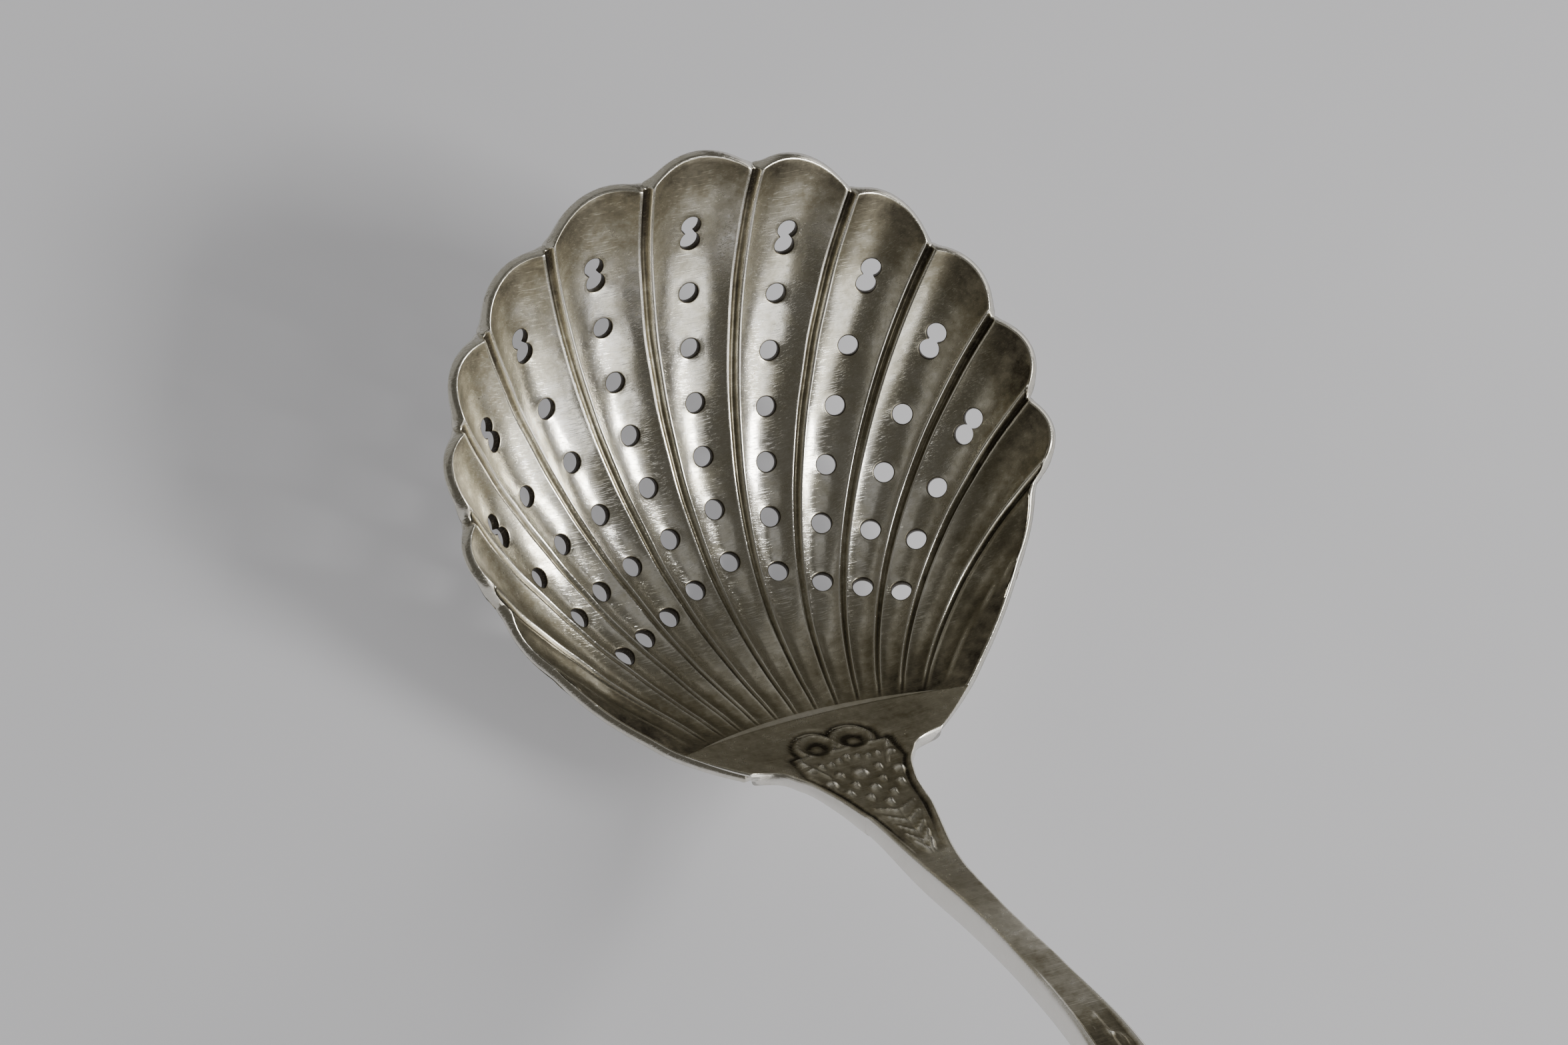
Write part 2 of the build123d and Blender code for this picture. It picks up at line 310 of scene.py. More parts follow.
def flank_point(share):
    """Plan point on the bowl's plain side, from the last notch (0) to the heel (1)."""
    start = notch_point(LOBES_EACH_SIDE - 0.5)
    centre, radius = circle_through(start, FLANK_MID, HEEL_END)
    first = math.atan2(*(start - centre)[::-1])
    last = math.atan2(*(np.array(HEEL_END) - centre)[::-1])
    if last > first:
        last -= 2 * math.pi
    angle = first + (last - first) * share
    return centre[:, None] + radius * np.array([np.cos(angle), np.sin(angle)])


def lobe_columns(lobe):
    """Plan columns of one of the inner lobes, left groove to right groove, heel to rim."""
    last = len(TROUGH_STEPS) + len(GROOVE_STEPS) - 1
    circle = scallop_circle(lobe)
    share = np.linspace(0, 1, ROWS + 1)
    columns = []
    for place in range(-last, last + 1):
        side, step = (1 if place >= 0 else -1), abs(place)
        top = notch_point(lobe + 0.5 * side)[1]
        for _ in range(RIM_TRIES):
            width = lobe_width(top)
            slant = FLUTE_SPREAD * lobe + column_offset(side, step, width) / (top - FLUTE_APEX_Y)
            top = (top + rim_y(slant, circle)) / 2
        y = HEEL_END[1] + (top - HEEL_END[1]) * share
        width = lobe_width(y)
        columns.append(np.stack([lobe * width + column_offset(side, step, width), y], -1))
    return columns


def side_columns():
    """Plan columns of the outermost right lobe, from its groove's middle to the bowl's flank."""
    share = np.linspace(0, 1, ROWS + 1)
    notch = notch_point(LOBES_EACH_SIDE - 0.5)
    y = HEEL_END[1] + (notch[1] - HEEL_END[1]) * share
    width = lobe_width(y)
    left = np.stack([(LOBES_EACH_SIDE - 0.5) * width, y], -1)
    right = flank_point(1 - (1 - FLANK_SHARE) * share).T
    across = np.linalg.norm(right - left, axis=-1)
    half = groove_half(width)
    steps = [1 - s for s in GROOVE_STEPS[::-1][1:]] + [1.0]
    columns = [np.minimum(step * half / across, SIDE_GROOVE_MOST) for step in steps]
    crest = columns[-1]
    columns += [crest + (1 - crest) * i / SIDE_CELLS for i in range(1, SIDE_CELLS + 1)]
    placed = []
    for mix in columns:
        straight = left + (right - left) * mix[:, None]
        end_arc = flank_point(FLANK_SHARE * mix[-1:]).T[0]
        end_chord = left[-1] + (right[-1] - left[-1]) * mix[-1]
        placed.append(straight + (share**SIDE_BEND)[:, None] * (end_arc - end_chord))
    return placed


def plan_grid():
    """Plan points of the whole sheet, as columns by rows, and each lobe's middle column."""
    columns, middles = [], {}
    for lobe in range(1 - LOBES_EACH_SIDE, LOBES_EACH_SIDE):
        new = lobe_columns(lobe)
        middles[lobe] = len(columns) + len(new) // 2 - (1 if columns else 0)
        columns += new[1:] if columns else new
    right = side_columns()
    left = [c * np.array([-1, 1]) for c in right[::-1]]
    middles = {lobe: i + len(left) for lobe, i in middles.items()}
    return np.array(left + columns + right), middles


# ---------------- the bowl's mesh

class Sheet:
    """A pierced sheet: one plan mesh that is mapped to the inside and the outside, joined by walls."""

    def __init__(self):
        self.plan = []
        self.drop = []
        self.faces = []
        self.walls = []       # (loop, rings of (plan points, drop, depth) from inside to outside, tarnish)

    def add(self, points, drop):
        first = len(self.plan)
        self.plan += [tuple(p) for p in points]
        self.drop += list(drop)
        return list(range(first, first + len(points)))


def from_tangent(centre, basis, flat):
    """Plan points of the bowl that lie over places on the plane touching it at centre."""
    across, along, normal = basis
    place = centre + flat[:, :1] * across + flat[:, 1:] * along
    plan = place[:, :2]
    for _ in range(HOLE_TRIES):
        height = (on_bed(plan) - centre) @ normal
        plan = place[:, :2] + height[:, None] * normal[:2]
    return plan


def on_tangent(plan, centre, basis):
    """Places on the plane touching the bowl at centre, for plan points."""
    around = on_bed(plan) - centre
    return np.stack([around @ basis[0], around @ basis[1]], -1)


def hole_frame(ends):
    """Middle, half gap and tangent directions of a hole made by circles around two plan points."""
    points = on_bed(np.array(ends))
    middle_plan = points[:, :2].mean(0)
    centre = on_bed(middle_plan)
    normal = bed_normal(*(np.array([v]) for v in middle_plan))[0]
    run = middle_plan - np.array([0, FLUTE_APEX_Y])
    run /= 2 * np.linalg.norm(run)
    line = on_bed(middle_plan + run) - on_bed(middle_plan - run)
    along = line / np.linalg.norm(line)
    normal = normal - along * (along @ normal)
    normal /= np.linalg.norm(normal)
    across = np.cross(along, normal)
    gap = np.linalg.norm(points[1] - points[0]) / 2
    return centre, gap, (across, along, normal)


def hole_edge(flat, gap):
    """Distance from a hole's middle to its edge, in the directions of flat points."""
    angle = np.arctan2(flat[:, 0], flat[:, 1])
    return gap * np.abs(np.cos(angle)) + np.sqrt(HOLE_R**2 - (gap * np.sin(angle)) ** 2)


def snap_to_waist(direction, gap):
    """Turns the direction nearest to each side of a double hole's waist exactly onto it."""
    if gap == 0:
        return direction
    for side in (-1, 1):
        nearest = np.argmax(direction[:, 0] * side)
        direction[nearest] = (side, 0)
    return direction


def add_hole(sheet, grid_index, perimeter, ends):
    """Fills the room inside a loop of grid points with rings around a hole, and adds the hole's wall."""
    centre, gap, basis = hole_frame(ends)
    loop = [grid_index(i, j) for i, j in perimeter]
    corners = on_tangent(np.array([sheet.plan[k] for k in loop]), centre, basis)
    parts = [corners + (np.roll(corners, -1, 0) - corners) * k / RING_SPLIT for k in range(RING_SPLIT)]
    flat = np.stack(parts, 1).reshape(-1, 2)
    direction = flat / np.linalg.norm(flat, axis=-1, keepdims=True)
    direction = snap_to_waist(direction, gap)
    edge = direction * hole_edge(direction, gap)[:, None]
    lip = edge + direction * EDGE_ROUND
    for mix in RING_STEPS:
        at = flat + (lip - flat) * mix
        off_edge = np.linalg.norm(at - lip, axis=-1)
        ring = sheet.add(from_tangent(centre, basis, at), DISH * np.exp(-((off_edge / DISH_WIDTH) ** 2)))
        share = len(ring) // len(loop)
        for k, (a, b) in enumerate(zip(loop, loop[1:] + loop[:1])):
            inner = [ring[(k * share + step) % len(ring)] for step in range(share, -1, -1)]
            sheet.faces.append((a, b, *inner))
        loop = ring
    rings = [(from_tangent(centre, basis, edge + direction * out)[::-1], DISH, down)
             for out, down in edge_profile()]
    sheet.walls.append((loop[::-1], rings, HOLE_FILM))


def edge_profile():
    """Rounded edge of the sheet: (distance outwards from the wall, depth) from inside to outside."""
    turn = 1 - math.sqrt(0.5)
    near = [(EDGE_ROUND * turn, EDGE_ROUND * turn), (0, EDGE_ROUND)]
    far = [(out, 1 - down) for out, down in near[::-1]]
    return near + far


def edge_room(plan, centre, gap, basis):
    """Least distance from a hole's edge to plan points outside it."""
    flat = on_tangent(plan, centre, basis)
    return (np.linalg.norm(flat, axis=-1) - hole_edge(flat, gap)).min()


def block_around(grid, middle_column, ends):
    """Grid columns and rows around a hole, grown on each side until they leave EDGE_ROOM."""
    centre, gap, basis = hole_frame(ends)
    middle_row = int(np.argmin(np.abs(grid[middle_column, :, 1] - centre[1])))
    columns, rows = BLOCK_START
    i0, i1 = middle_column - columns, middle_column + columns
    j0, j1 = middle_row - rows, middle_row + rows
    crest = len(TROUGH_STEPS) - 1
    grown = True
    while grown:
        sides = [grid[i0, j0:j1 + 1], grid[i1, j0:j1 + 1], grid[i0:i1 + 1, j0], grid[i0:i1 + 1, j1]]
        tight = [edge_room(side, centre, gap, basis) < EDGE_ROOM for side in sides]
        left = tight[0] and i0 > middle_column - crest
        right = tight[1] and i1 < middle_column + crest
        low = tight[2] and j0 > 1
        high = tight[3] and j1 < grid.shape[1] - 2
        i0, i1, j0, j1 = i0 - left, i1 + right, j0 - low, j1 + high
        grown = left or right or low or high
    return i0, i1, j0, j1


def lobe_point(lobe, y):
    return lobe * lobe_width(y), y


def hole_ends():
    """Each hole as its lobe and the plan points of its two circles, which are one for a round hole."""
    outermost = len(PIERCED_LOBES) - 1
    for lobe in range(-outermost, outermost + 1):
        pair_y, first_y, last_y, count = PIERCED_LOBES[abs(lobe)]
        yield lobe, (lobe_point(lobe, pair_y - PAIR_STEP), lobe_point(lobe, pair_y))
        for i in range(count):
            y = first_y + (last_y - first_y) * i / (count - 1)
            yield lobe, (lobe_point(lobe, y), lobe_point(lobe, y))


def outline_of(count_i, count_j):
    """Grid places around the edge, anticlockwise seen from the inside of the bowl."""
    heel = [(i, 0) for i in range(count_i - 1)]
    right = [(count_i - 1, j) for j in range(count_j - 1)]
    rim = [(i, count_j - 1) for i in range(count_i - 1, 0, -1)]
    left = [(0, j) for j in range(count_j - 1, 0, -1)]
    return heel + right + rim + left


def bowl_sheet():
    grid, middles = plan_grid()
    count_i, count_j = grid.shape[:2]
    outline = outline_of(count_i, count_j)
    edge = np.array([grid[i, j] for i, j in outline])
    tangent = np.roll(edge, -1, 0) - np.roll(edge, 1, 0)
    outward = np.stack([tangent[:, 1], -tangent[:, 0]], -1)
    outward /= np.linalg.norm(outward, axis=-1, keepdims=True)
    for (i, j), point, out in zip(outline, edge, outward):
        grid[i, j] = point - out * EDGE_ROUND
    sheet = Sheet()
    sheet.add(grid.reshape(-1, 2), np.zeros(count_i * count_j))

    def index(i, j):
        return i * count_j + j

    filled = np.zeros((count_i - 1, count_j - 1), bool)
    for lobe, ends in hole_ends():
        i0, i1, j0, j1 = block_around(grid, middles[lobe], ends)
        filled[i0:i1, j0:j1] = True
        perimeter = [(i, j0) for i in range(i0, i1)] + [(i1, j) for j in range(j0, j1)]
        perimeter += [(i, j1) for i in range(i1, i0, -1)] + [(i0, j) for j in range(j1, j0, -1)]
        add_hole(sheet, index, perimeter, ends)
    for i in range(count_i - 1):
        for j in range(count_j - 1):
            if not filled[i, j]:
                sheet.faces.append((index(i, j), index(i + 1, j), index(i + 1, j + 1), index(i, j + 1)))
    rings = [(edge - outward * out, 0.0, down) for out, down in edge_profile()]
    sheet.walls.append(([index(i, j) for i, j in outline], rings, RIM_FILM))
    return sheet


def rim_distance(x, y):
    """Rough distance inwards from the rim ellipse."""
    share = np.sqrt((x / RIM_HALF_WIDTH) ** 2 + ((y - RIM_CENTRE_Y) / RIM_HALF_LENGTH) ** 2)
    return (1 - share) * RIM_HALF_LENGTH


def bowl_tarnish(x, y, depth):
    """0 clean to 1 dark: grooves and a band by the rim keep their tarnish."""
    band = np.exp(-np.clip(rim_distance(x, y), 0, None) / BAND_WIDTH)
    groove = smooth_step(groove_share(x, y) * GROOVE_FILM_RISE) * flute_fade(y)
    distance, width, half = across_lobe(x, y)
    off_bead = (width / 2 - distance - BEAD_FILM_AT * half) / half
    groove = groove * (1 - depth) + BEAD_FILM * np.exp(-(off_bead**2)) * flute_fade(y) * depth
    heel = smooth_step((HEEL_FILM_Y - y) / HEEL_FILM_FADE)
    film = (GROOVE_FILM + GROOVE_HEEL_FILM * heel) * groove
    return np.clip(film + BAND_FILM * band * (1 - depth) + HEEL_FILM * heel * (1 - depth), 0, 1)


def bowl_wear(x, y):
    """1 on the crests beside the grooves, which rubbing keeps bright."""
    distance, width, half = across_lobe(x, y)
    off_crest = np.abs(distance - width / 2 + half)
    return np.exp(-((off_crest / CREST_HALF) ** 2)) * flute_fade(y)


def add_object(name, data):
    made = bpy.data.objects.new(name, data)
    bpy.context.scene.collection.objects.link(made)
    return made


def make_mesh(name, points, faces, floats):
    """Mesh object from row frame millimetres, smooth shaded, with named per-point values."""
    mesh = bpy.data.meshes.new(name)
    mesh.from_pydata((points * MM).tolist(), [], faces)
    mesh.shade_smooth()
    for key, values in floats.items():
        mesh.attributes.new(key, "FLOAT", "POINT").data.foreach_set("value", values.astype(np.float32))
    mesh.update()
    return add_object(name, mesh)


def drop_unused(points, faces, floats):
    """Leaves out points that no face uses."""
    used = np.zeros(len(points), bool)
    used[[k for face in faces for k in face]] = True
    new_index = np.cumsum(used) - 1
    kept_faces = [tuple(int(new_index[k]) for k in face) for face in faces]
    return points[used], kept_faces, {key: values[used] for key, values in floats.items()}


def build_bowl():
    sheet = bowl_sheet()
    plan = np.array(sheet.plan)
    drop = np.array(sheet.drop)
    x, y = plan[:, 0], plan[:, 1]
    count = len(plan)
    blocks = [bowl_points(x, y, drop, 0.0), bowl_points(x, y, drop, 1.0)]
    tarnish = [bowl_tarnish(x, y, 0.0), bowl_tarnish(x, y, 1.0)]
    wear = [bowl_wear(x, y), np.zeros(count)]
    faces = list(sheet.faces) + [tuple(k + count for k in face[::-1]) for face in sheet.faces]
    total = 2 * count
    for loop, rings, film in sheet.walls:
        levels = [loop]
        for ring, ring_drop, down in rings:
            ring_x, ring_y = ring[:, 0], ring[:, 1]
            blocks.append(bowl_points(ring_x, ring_y, np.full(len(ring), ring_drop), down))
            tarnish.append(np.full(len(ring), film))
            wear.append(np.full(len(ring), RIM_WEAR if ring_drop == 0 else 0.0))
            levels.append(list(range(total, total + len(ring))))
            total += len(ring)
        levels.append([k + count for k in loop])
        for upper, lower in zip(levels, levels[1:]):
            for a, b, c, d in zip(upper, lower, lower[1:] + lower[:1], upper[1:] + upper[:1]):
                faces.append((a, b, c, d))
    points = seated(np.concatenate(blocks))
    floats = {"tarnish": np.concatenate(tarnish), "wear": np.concatenate(wear)}
    return make_mesh("shell_bowl", *drop_unused(points, faces, floats))


# ---------------- the handle

def smooth_through(knots, values, at):
    """Smooth curve through values at knots, read at other places."""
    knots, values = np.array(knots, float), np.array(values, float)
    slopes = np.gradient(values, knots, axis=0)
    span = np.clip(np.searchsorted(knots, at, side="right") - 1, 0, len(knots) - 2)
    width = knots[span + 1] - knots[span]
    t = (at - knots[span]) / width
    shape = (slice(None),) + (None,) * (values.ndim - 1)
    t, width = t[shape], width[shape]
    start = values[span] * (2 * t**3 - 3 * t**2 + 1) + slopes[span] * width * (t**3 - 2 * t**2 + t)
    return start + values[span + 1] * (3 * t**2 - 2 * t**3) + slopes[span + 1] * width * (t**3 - t**2)


def flank_x(y):
    """Half width of the bowl's plain sides at a plan y near the heel."""
    centre, radius = circle_through(notch_point(LOBES_EACH_SIDE - 0.5), FLANK_MID, HEEL_END)
    return centre[0] + np.sqrt(radius**2 - (y - centre[1]) ** 2)


def heel_normal(y):
    """Square to the heel's surface on the middle line, in the row frame."""
    normal = bed_normal(np.zeros_like(y), y)
    return seated(normal) - seated(np.zeros_like(normal))


def plate_points():
    """Top face of the plate for shares across (-1 to 1), its normals, and its thickness, row by row."""
    front = FRONT_SHARE * np.array(FRONT_STEPS)
    share = np.concatenate([front, np.linspace(FRONT_SHARE, 1, PLATE_ROWS)])
    mid_y = PLATE_FRONT_Y + share * (HEEL_END[1] - PLATE_FRONT_Y)
    side_y = LAP_FRONT[1] + share * (HEEL_END[1] - LAP_FRONT[1])
    half = flank_x(side_y)
    rounded = np.sqrt(1 - (1 - np.clip(share / FRONT_SHARE, FRONT_LEAST, 1)) ** 2)
    height = PLATE * rounded * (PLATE_FEATHER + (1 - PLATE_FEATHER) * smooth_step(share))
    normal = heel_normal(mid_y)
    thick = height * bed_normal(np.zeros_like(mid_y), mid_y)[:, 2]

    def top(cross):
        x = cross * half[:, None]
        y = mid_y[:, None] + (side_y - mid_y)[:, None] * cross**2
        return seated(np.stack([x, y, bed(x, y) + SOLDER + height[:, None]], -1))

    return half, normal, thick, top


def shoulder_points():
    """The thick shoulder behind the sheet, narrowing towards the stem."""
    knots = [(HEEL_END[0], HEEL_END[1], SHOULDER[0][2])] + SHOULDER
    run = [-k[1] for k in knots]
    y = np.linspace(HEEL_END[1] - SHEET_GAP, SHOULDER[-1][1], SHOULDER_ROWS)
    half = smooth_through(run, [k[0] for k in knots], -y)
    thick = smooth_through(run, [k[2] for k in knots], -y)

    def top(cross):
        x = cross * half[:, None]
        level = np.broadcast_to(y[:, None], x.shape)
        return seated(np.stack([x, level, bed(x, level) + SOLDER + PLATE], -1))

    return half, heel_normal(y), thick, top


def stem_points():
    """The stem, from the shoulder over its arch to the rounded end that rests on the table."""
    lead_y = np.array([SHOULDER[-2][1], SHOULDER[-1][1]])
    lead = seated(np.stack([0 * lead_y, lead_y, bed(0, lead_y) + SOLDER + PLATE], -1))
    knots = [(p[1] - BOWL_Y, p[2], s[2], s[0]) for p, s in zip(lead, SHOULDER[-2:])] + STEM
    knots = np.array(knots)
    step = np.linalg.norm(np.diff(knots[:, :2], axis=0), axis=1)
    run = np.concatenate([[0], np.cumsum(step)])
    at = np.arange(run[1] + STEM_STEP, run[-1], STEM_STEP)
    y, z, thick, half = smooth_through(run, knots, at).T
    end_y, end_z, end_thick, end_half = knots[-1]
    radius = ((end_y - STEM_END_Y) ** 2 + end_half**2) / (2 * (end_y - STEM_END_Y))
    turn = np.linspace(math.asin(end_half / radius), END_TURN, END_ROWS)
    y = np.concatenate([y, STEM_END_Y + radius - radius * np.cos(turn)])
    half = np.concatenate([half, radius * np.sin(turn)])
    z = np.concatenate([z, np.full(len(turn), end_z)])
    thick = np.concatenate([thick, np.full(len(turn), end_thick)])
    slope_y, slope_z = np.gradient(y), np.gradient(z)
    normal = np.stack([0 * y, slope_z, -slope_y], -1)
    normal /= np.linalg.norm(normal, axis=-1, keepdims=True)
    dish = STEM_DISH * smooth_step(1 - (lead[1][1] - BOWL_Y - y) / STEM_DISH_LENGTH)

    def top(cross):
        centre = np.stack([0 * y, y + BOWL_Y, z], -1)[:, None, :]
        aside = np.array([1.0, 0, 0]) * (cross * half[:, None])[..., None]
        return centre + aside + normal[:, None, :] * (dish[:, None] * cross**2)[..., None]

    return half, normal, thick, top


def ring_of(half, thick):
    """Closed sections, row by row: places across and depths, over the top to the right and back under."""
    side_most = SIDE_ROUND_MOST * half
    top_round = np.minimum(np.minimum(TOP_ROUND, TOP_ROUND_MOST * thick), side_most)[:, None]
    low_round = np.minimum(np.minimum(LOW_ROUND, LOW_ROUND_MOST * thick), side_most)[:, None]
    half, thick = half[:, None], thick[:, None]
    turn = np.linspace(0, math.pi / 2, CORNER_CELLS + 1)[None, :]
    flat = np.linspace(-1, 1, TOP_CELLS + 1)[None, :] * (half - top_round)
    under = np.linspace(1, -1, TOP_CELLS + 1)[None, :] * (half - low_round)
    upper, lower = turn[:, 1:], turn[:, :-1]
    right_x = [half - top_round + top_round * np.sin(upper), half - low_round + low_round * np.cos(lower)]
    right_d = [top_round - top_round * np.cos(upper), thick - low_round + low_round * np.sin(lower)]
    right_x, right_d = np.concatenate(right_x, 1), np.concatenate(right_d, 1)
    across = np.concatenate([flat, right_x, under, -right_x[:, ::-1]], 1)
    depth = np.concatenate([0 * flat, right_d, 0 * under + thick, right_d[:, ::-1]], 1)
    return across, depth


# ---- struck ornament: places are (x, distance along the handle from the plate's front edge) ----
ARCH_X, ARCH_AT, ARCH_R = 1.9, 5.0, 2.5
DISC_AT, DISC_R, BOSS_R = 5.3, 1.35, 0.675
BODY_START, BODY_HALF, BODY_INSET = 5.8, 5.2, 0.75
GROUND_END = 24.5
# x from the middle, distance along, radius; each is repeated on the other side
BEADS = [(0.0, 7.7, 0.36), (0.95, 8.0, 0.30), (1.9, 8.3, 0.30), (2.9, 8.2, 0.30), (4.1, 8.6, 0.40),
         (0.0, 10.6, 0.85), (2.0, 10.3, 0.45), (3.5, 11.4, 0.75), (1.4, 12.4, 0.42), (2.6, 13.5, 0.50),
         (0.0, 13.6, 0.60), (1.2, 15.0, 0.42), (0.0, 16.5, 0.50)]
LEAVES = [(17.3, 2.0), (19.0, 1.7), (20.6, 1.35), (22.0, 1.05), (23.2, 0.8)]  # tip's place and reach
LEAF_ROOT = (0.15, 1.2)  # x, and distance behind the tip
WING = (4.4, 6.9, 3.0, 10.2)
GROUND_DEPTH, GROUND_EDGE = 0.12, 0.4  # sunk ground, and width of the slope into it
LINE_DEPTH, LINE_HALF, LINE_WIDER = 0.20, 0.22, 0.10  # cut line around it, wider near the arches
INNER_HEIGHT, INNER_HALF, INNER_AT = 0.28, 0.22, 0.70  # raised line inside that one
ARCHES_END, ARCHES_FADE, LINE_FADE = 10.0, 4.0, 6.0
DISC_DEPTH, BOSS_HEIGHT, PEARL_HEIGHT = 0.20, 0.26, 0.42
LEAF_HEIGHT, LEAF_HALF = 0.26, 0.3
WING_HEIGHT, WING_HALF = 0.2, 0.26
STROKE_START, STROKE_TAPER = 1.15, 0.6  # a stroke's width where it starts, and what it loses
GROUND_FILM = 0.35

# ---- scrolls on the broad part; a scroll's own sizes are multiples of a size that grows ----
SCROLLS_START, SCROLLS_FADE, FIRST_SCROLL = 52.0, 4.0, 2.0
SCROLL_STEP, SCROLL_COUNT = 4.6, 20
SCROLL_SIZE, SCROLL_GROWTH = 0.42, 0.035
SCROLL_ROOT, SCROLL_REACH, SCROLL_HALF = 0.1, (3.3, 2.4), 0.42
CURL_X, CURL_AHEAD, CURL_R, CURL_HALF = 0.86, 0.55, 0.62, 0.17
SCROLL_HEIGHT, SCROLL_CLEAR, SCROLL_EDGE = 0.26, 0.6, 1.2
VEIN_HEIGHT, VEIN_HALF = 0.16, 0.22
BORDER_HEIGHT, BORDER_HALF, BORDER_INSET = 0.16, 0.16, 1.1
BORDER_LEAD, BORDER_FADE = 8, 6.0  # the border starts this far before the scrolls
FIELD_DEPTH, FIELD_INSET, FIELD_EDGE = 0.14, 1.375, 0.3
FULL_INSET_HALF = 6.0   # half width of the stem from which the insets are full


def dome(x, along, centre_x, centre, radius):
    share = np.clip(1 - ((x - centre_x) ** 2 + (along - centre) ** 2) / radius**2, 0, 1)
    return np.sqrt(share) * share


def circle_line(x, along, centre_x, centre, radius, width):
    away = np.hypot(x - centre_x, along - centre) - radius
    return np.exp(-((away / width) ** 2))


def stroke(x, along, start, end, width):
    """1 on a line between two places, falling away over its width."""
    start, end = np.array(start, float), np.array(end, float)
    line = end - start
    share = np.clip(((x - start[0]) * line[0] + (along - start[1]) * line[1]) / (line @ line), 0, 1)
    away = np.hypot(x - start[0] - line[0] * share, along - start[1] - line[1] * share)
    return np.exp(-((away / (width * (STROKE_START - STROKE_TAPER * share))) ** 2))


def shoulder_ornament(x, along, half):
    """Double arch over two discs, beads, and pairs of leaves that run down to the stem."""
    side = np.abs(x)
    arches = np.hypot(side - ARCH_X, along - ARCH_AT) - ARCH_R
    edge = np.minimum(BODY_HALF, half - BODY_INSET)
    body = np.maximum(np.maximum(side - edge, BODY_START - along), along - GROUND_END)
    outside = np.minimum(arches, body)
    tail = smooth_step((GROUND_END - along) / LINE_FADE)
    inside = smooth_step(0.5 - outside / GROUND_EDGE)
    near_arch = smooth_step((ARCHES_END - along) / ARCHES_FADE)
    trench = np.exp(-((outside / (LINE_HALF + LINE_WIDER * near_arch)) ** 2)) * tail
    inner_line = np.exp(-(((outside + INNER_AT) / INNER_HALF) ** 2)) * near_arch
    relief = INNER_HEIGHT * inner_line - GROUND_DEPTH * inside - LINE_DEPTH * trench
    hollow = np.sqrt(dome(side, along, ARCH_X, DISC_AT, DISC_R))
    boss = np.sqrt(dome(side, along, ARCH_X, DISC_AT, BOSS_R))
    relief = relief - DISC_DEPTH * hollow + BOSS_HEIGHT * boss
    trench = np.maximum(trench, hollow - boss)
    for bead_x, at, radius in BEADS:
        relief = relief + PEARL_HEIGHT * np.sqrt(dome(side, along, bead_x, at, radius))
    root_x, root_behind = LEAF_ROOT
    for at, reach in LEAVES:
        leaf = stroke(side, along, (root_x, at + root_behind), (reach, at), LEAF_HALF)
        relief = relief + LEAF_HEIGHT * leaf
    relief = relief + WING_HEIGHT * stroke(side, along, WING[:2], WING[2:], WING_HALF)
    return relief, np.clip(GROUND_FILM * inside + trench, 0, 1)


def stem_ornament(x, along, half):
    """Scrolling leaves to either side of a middle vein, inside a narrow border, on the broad part."""
    here = smooth_step((along - SCROLLS_START) / SCROLLS_FADE)
    inset = half - np.abs(x)
    full = np.minimum(1, half / FULL_INSET_HALF)
    border = np.exp(-(((inset - BORDER_INSET * full) / BORDER_HALF) ** 2))
    relief = BORDER_HEIGHT * border * smooth_step((along - SCROLLS_START + BORDER_LEAD) / BORDER_FADE)
    vein = np.exp(-((x / VEIN_HALF) ** 2))
    relief = relief + VEIN_HEIGHT * vein * here
    field = here * smooth_step((inset - FIELD_INSET * full) / FIELD_EDGE)
    relief = relief - FIELD_DEPTH * field
    clear = np.clip(inset / SCROLL_EDGE - SCROLL_CLEAR, 0, 1)
    for i in range(SCROLL_COUNT):
        at = SCROLLS_START + FIRST_SCROLL + i * SCROLL_STEP
        size = SCROLL_SIZE + SCROLL_GROWTH * i
        for side in (-1, 1):
            start = (SCROLL_ROOT * side, at + (SCROLL_STEP / 2 if side > 0 else 0))
            reach = (side * SCROLL_REACH[0] * size, start[1] + SCROLL_REACH[1] * size)
            leaf = stroke(x, along, start, reach, SCROLL_HALF * size)
            curl_at = reach[1] + CURL_AHEAD * size
            curl = circle_line(x, along, reach[0] * CURL_X, curl_at, CURL_R * size, CURL_HALF)
            relief = relief + SCROLL_HEIGHT * np.maximum(leaf, curl) * here * clear
    return relief, field


def handle_relief(x, along, half):
    """Height of the struck ornament, and the share of sunk ground, on the handle's top face."""
    near, near_ground = shoulder_ornament(x, along, half)
    far, far_ground = stem_ornament(x, along, half)
    in_front = along < (GROUND_END + SCROLLS_START) / 2
    return np.where(in_front, near, far), np.where(in_front, near_ground, far_ground)


def end_pairs(first, places):
    """Points of a section from its left side to its right, over the top and along the underside."""
    top_left = places - CORNER_CELLS
    over = [first + (top_left + k) % places for k in range(places // 2)]
    under = [first + (top_left - 1 - k) % places for k in range(places // 2)]
    return over, under


